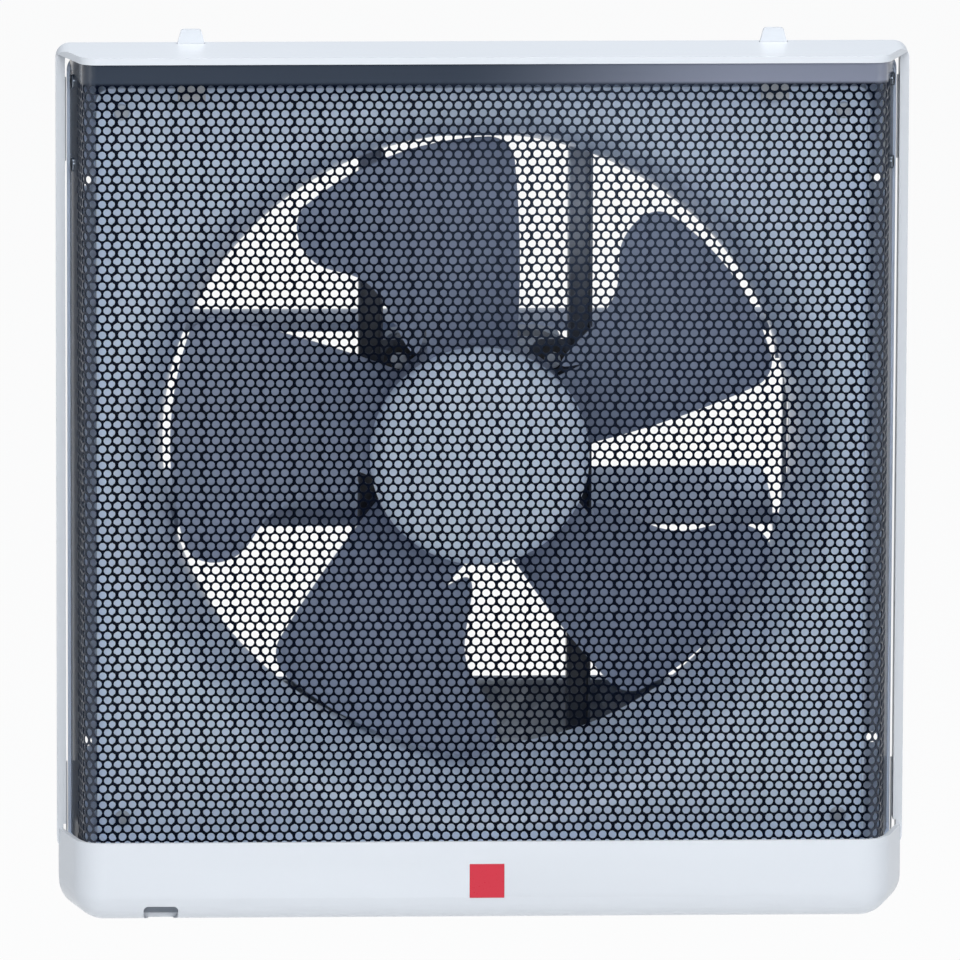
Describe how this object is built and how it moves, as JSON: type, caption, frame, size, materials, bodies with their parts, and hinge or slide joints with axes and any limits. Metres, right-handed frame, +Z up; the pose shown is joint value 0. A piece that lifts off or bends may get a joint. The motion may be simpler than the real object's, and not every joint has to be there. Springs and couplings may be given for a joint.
{
  "type": "wall ventilating fan",
  "caption": "Square wall-mounted ventilating fan with a perforated front grille in a glossy frame, a skewed-blade propeller and a louvered exhaust shutter.",
  "frame": {"origin": "on the fan axis in the wall plane, the rear face of the mounting flange", "axes": "+X right seen from the room, +Y into the wall along the air flow, +Z up"},
  "size_m": [0.416, 0.2765, 0.4368],
  "materials": {
    "galvanised": "galvanised sheet, matt",
    "panel_paint": "pale blue-grey enamel",
    "zinc_screw": "zinc plated",
    "black_steel": "black enamel",
    "rubber": "matt",
    "motor_shell": "grey enamel",
    "lamination": "stacked electrical steel",
    "copper": "enamelled copper wire",
    "bearing_steel": "ground steel",
    "blade_plastic": "satin slate plastic",
    "spinner_plastic": "satin pale blue-grey plastic",
    "terminal_plastic": "matt",
    "block_plastic": "natural nylon",
    "capacitor_case": "satin",
    "louver_paint": "pale grey enamel",
    "link_steel": "zinc plated",
    "actuator_plastic": "matt",
    "white_plastic": "glossy white moulding",
    "dark_sheet": "glossy dark blue-grey enamel on perforated steel",
    "rivet_steel": "bright domed heads"
  },
  "bodies": {
    "housing": {"wall_box": "galvanised", "orifice_panel": "panel_paint", "panel_screws": "zinc_screw", "motor_stay_left": "black_steel", "motor_stay_right": "black_steel", "stay_screws": "zinc_screw", "motor_bushes": "rubber", "motor_bolts": "zinc_screw", "motor_front_shell": "motor_shell", "motor_rear_shell": "motor_shell", "stator_core": "lamination", "stator_windings": "copper", "bearing_front": "bearing_steel", "bearing_rear": "bearing_steel", "terminal_box": "terminal_plastic", "terminal_cover": "terminal_plastic", "terminal_screws": "zinc_screw", "terminal_block": "block_plastic", "capacitor": "capacitor_case", "inlet_bush": "rubber", "shutter_frame": "galvanised", "shutter_screws": "zinc_screw", "pivot_bushes": "block_plastic", "shutter_actuator": "actuator_plastic", "actuator_bracket": "galvanised"},
    "rotor": {"motor_shaft": "bearing_steel", "rotor_core": "lamination", "drive_pin": "bearing_steel", "propeller": "blade_plastic", "spinner": "spinner_plastic"},
    "top_louver": {"louver_top": "louver_paint"},
    "middle_louver": {"louver_middle": "louver_paint"},
    "bottom_louver": {"louver_bottom": "louver_paint"},
    "link": {"link_bar": "link_steel"},
    "drive_arm": {"actuator_arm": "block_plastic"},
    "front": {"front_frame": "white_plastic", "grille_sheet": "dark_sheet", "grille_rivets": "rivet_steel"},
    "left_catch": {"catch_left": "white_plastic"},
    "right_catch": {"catch_right": "white_plastic"}
  },
  "joints": [
    {"name": "fan_spin", "type": "hinge", "parent": "housing", "child": "rotor", "pos_m": [0, 0.03, 0], "axis": [0, 1, 0], "continuous": true},
    {"name": "louver_top_swing", "type": "hinge", "parent": "housing", "child": "top_louver", "pos_m": [0, 0.135, 0.14], "axis": [1, 0, 0], "range_deg": [-86, 0]},
    {"name": "louver_middle_swing", "type": "hinge", "parent": "housing", "child": "middle_louver", "pos_m": [0, 0.135, 0.041], "axis": [1, 0, 0], "range_deg": [-86, 0]},
    {"name": "louver_bottom_swing", "type": "hinge", "parent": "housing", "child": "bottom_louver", "pos_m": [0, 0.135, -0.058], "axis": [1, 0, 0], "range_deg": [-86, 0]},
    {"name": "drive_arm_swing", "type": "hinge", "parent": "housing", "child": "drive_arm", "pos_m": [0.15, 0.106, -0.131], "axis": [1, 0, 0], "range_deg": [-86, 0]},
    {"name": "link_pivot", "type": "hinge", "parent": "top_louver", "child": "link", "pos_m": [0.155, 0.1233, 0.12909], "axis": [1, 0, 0], "range_deg": [0, 86]},
    {"name": "front_pull", "type": "slide", "parent": "housing", "child": "front", "axis": [0, -1, 0], "range_m": [0, 0.08]},
    {"name": "left_catch_press", "type": "slide", "parent": "front", "child": "left_catch", "axis": [0, 0, -1], "range_m": [0, 0.003], "stiffness_N_per_m": 400, "springref_m": -0.002},
    {"name": "right_catch_press", "type": "slide", "parent": "front", "child": "right_catch", "axis": [0, 0, -1], "range_m": [0, 0.003], "stiffness_N_per_m": 400, "springref_m": -0.002}
  ],
  "couplings": [
    {"joint": "louver_middle_swing", "follows": "louver_top_swing", "ratio": 1},
    {"joint": "louver_bottom_swing", "follows": "louver_top_swing", "ratio": 1},
    {"joint": "drive_arm_swing", "follows": "louver_top_swing", "ratio": 1},
    {"joint": "link_pivot", "follows": "louver_top_swing", "ratio": -1}
  ]
}
